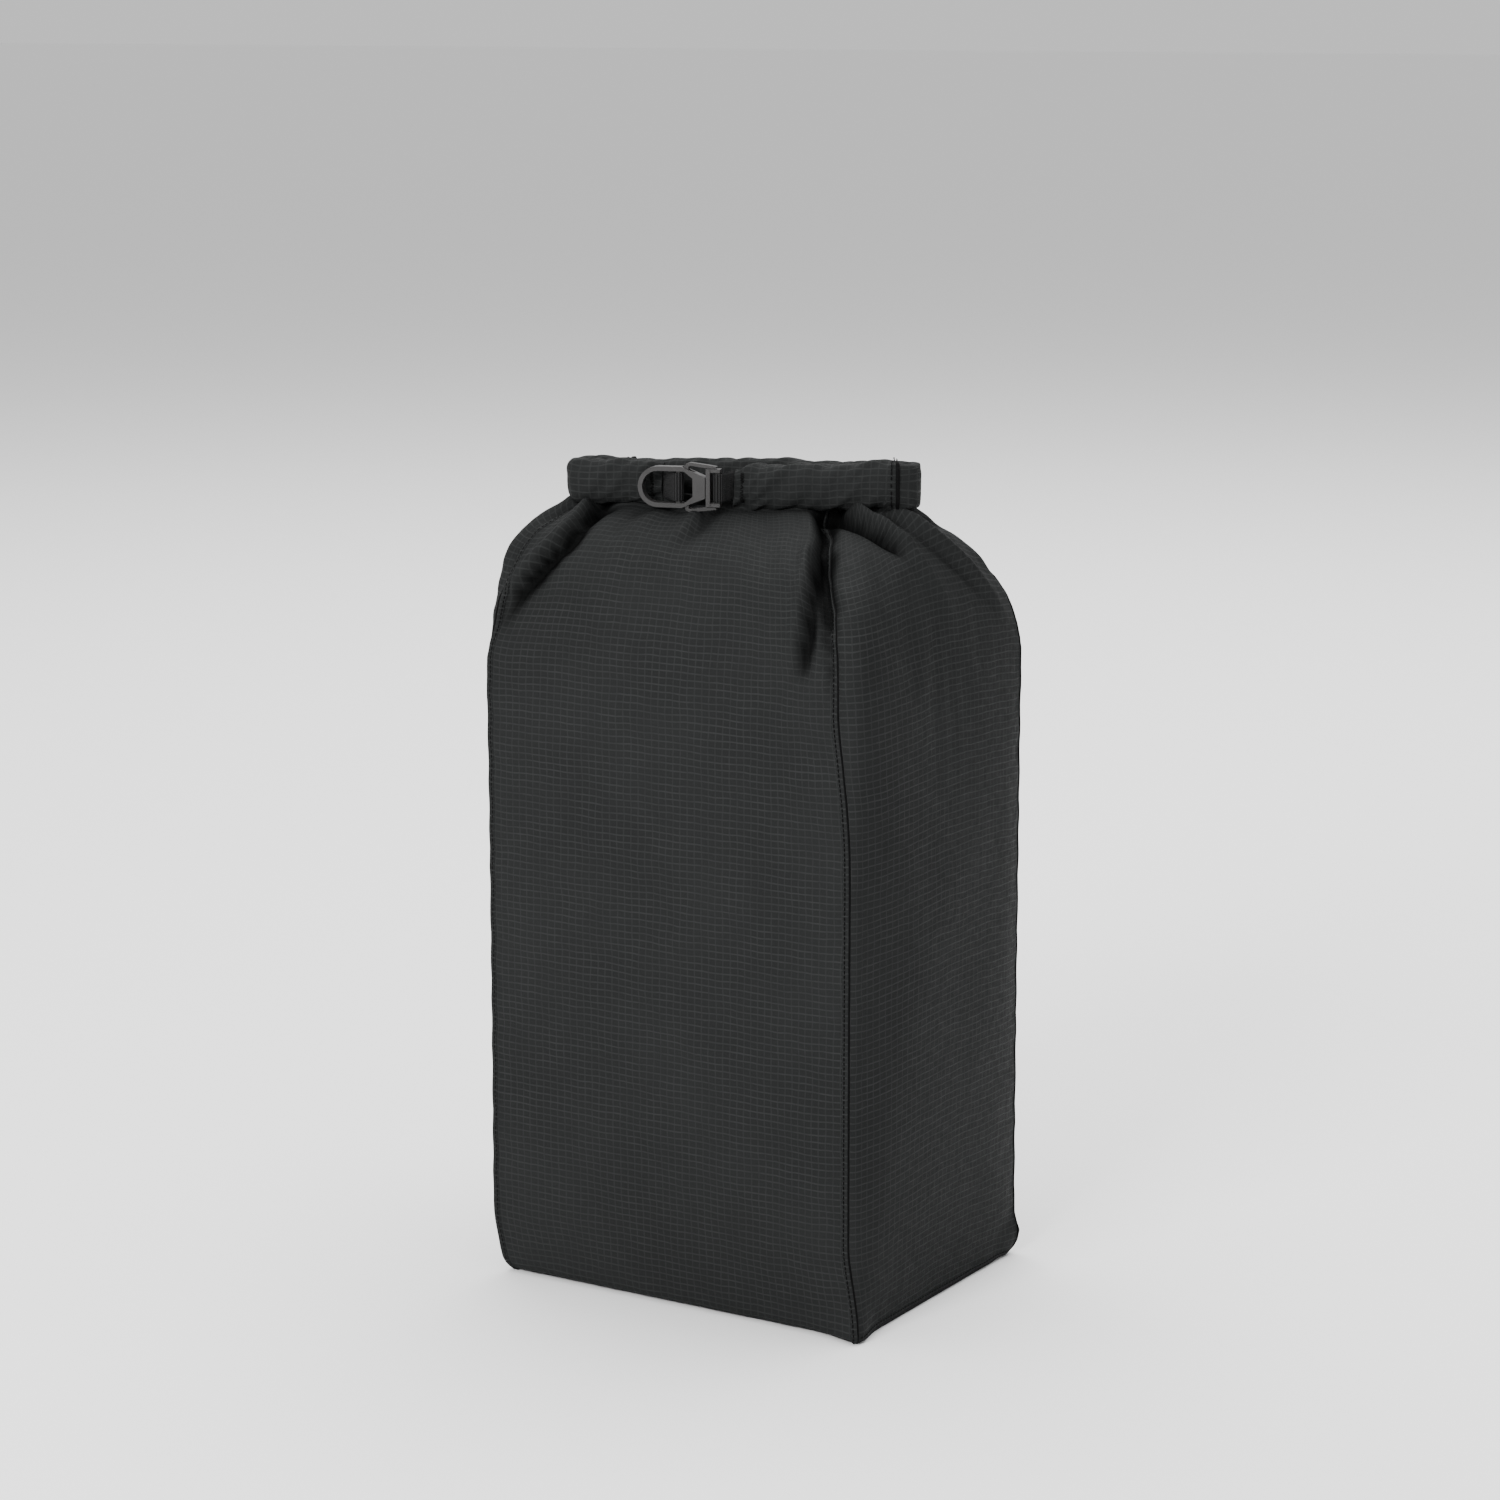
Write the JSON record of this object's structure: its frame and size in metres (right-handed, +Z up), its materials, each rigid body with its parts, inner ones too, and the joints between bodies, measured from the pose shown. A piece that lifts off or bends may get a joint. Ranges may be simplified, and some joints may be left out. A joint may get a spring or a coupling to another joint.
{
  "type": "roll-top compression sack",
  "caption": "Roll-top packing sack of dark ripstop fabric, standing full, its rolled collar clipped into a loop by a side-release buckle.",
  "frame": {"origin": "on the floor under the middle of the sack", "axes": "+Z up; the broad front wall, with the buckle, faces -Y; +X is to the right seen from the front"},
  "size_m": [0.3078, 0.242, 0.5996],
  "materials": {
    "ripstop": "coated ripstop nylon, dark charcoal, slight sheen",
    "seam_tape": "smooth welded tape, dark grey",
    "thread": "matt black polyester thread",
    "stiffener": "flexible plastic strip",
    "webbing": "flat black nylon webbing",
    "buckle": "moulded acetal, dark grey, satin"
  },
  "bodies": {
    "sack": {"main_panel": "ripstop", "left_gusset": "ripstop", "right_gusset": "ripstop", "left_seam_tape": "seam_tape", "right_seam_tape": "seam_tape", "left_seam_topstitch": "thread", "right_seam_topstitch": "thread"},
    "closure": {"collar_neck": "ripstop", "collar_outer_turn": "ripstop", "collar_inner_turn": "ripstop", "front_stiffener": "stiffener", "back_stiffener": "stiffener", "receiver_webbing_tab": "webbing", "latch_webbing_tab": "webbing", "receiver_tab_bartack": "thread", "latch_tab_bartack": "thread", "buckle_receiver": "buckle"},
    "latch": {"latch_frame": "buckle"},
    "upper_arm": {"upper_squeeze_arm": "buckle"},
    "lower_arm": {"lower_squeeze_arm": "buckle"}
  },
  "joints": [
    {"name": "closure_tilt", "type": "hinge", "parent": "sack", "child": "closure", "pos_m": [-0.004, -0.014, 0.548], "axis": [0.9511, 0.309, 0], "range_deg": [-15, 15]},
    {"name": "buckle_release", "type": "slide", "parent": "closure", "child": "latch", "axis": [0.9511, 0.309, 0], "range_m": [0, 0.024], "deforming": ["latch_webbing_tab"]},
    {"name": "upper_arm_squeeze", "type": "hinge", "parent": "latch", "child": "upper_arm", "pos_m": [-0.01105, -0.04731, 0.5965], "axis": [0.309, -0.9511, 0], "range_deg": [0, 5], "stiffness_Nm_per_rad": 0.5},
    {"name": "lower_arm_squeeze", "type": "hinge", "parent": "latch", "child": "lower_arm", "pos_m": [-0.01105, -0.04731, 0.5675], "axis": [0.309, -0.9511, 0], "range_deg": [-5, 0], "stiffness_Nm_per_rad": 0.5}
  ],
  "couplings": [
    {"joint": "lower_arm_squeeze", "follows": "upper_arm_squeeze", "ratio": -1}
  ]
}
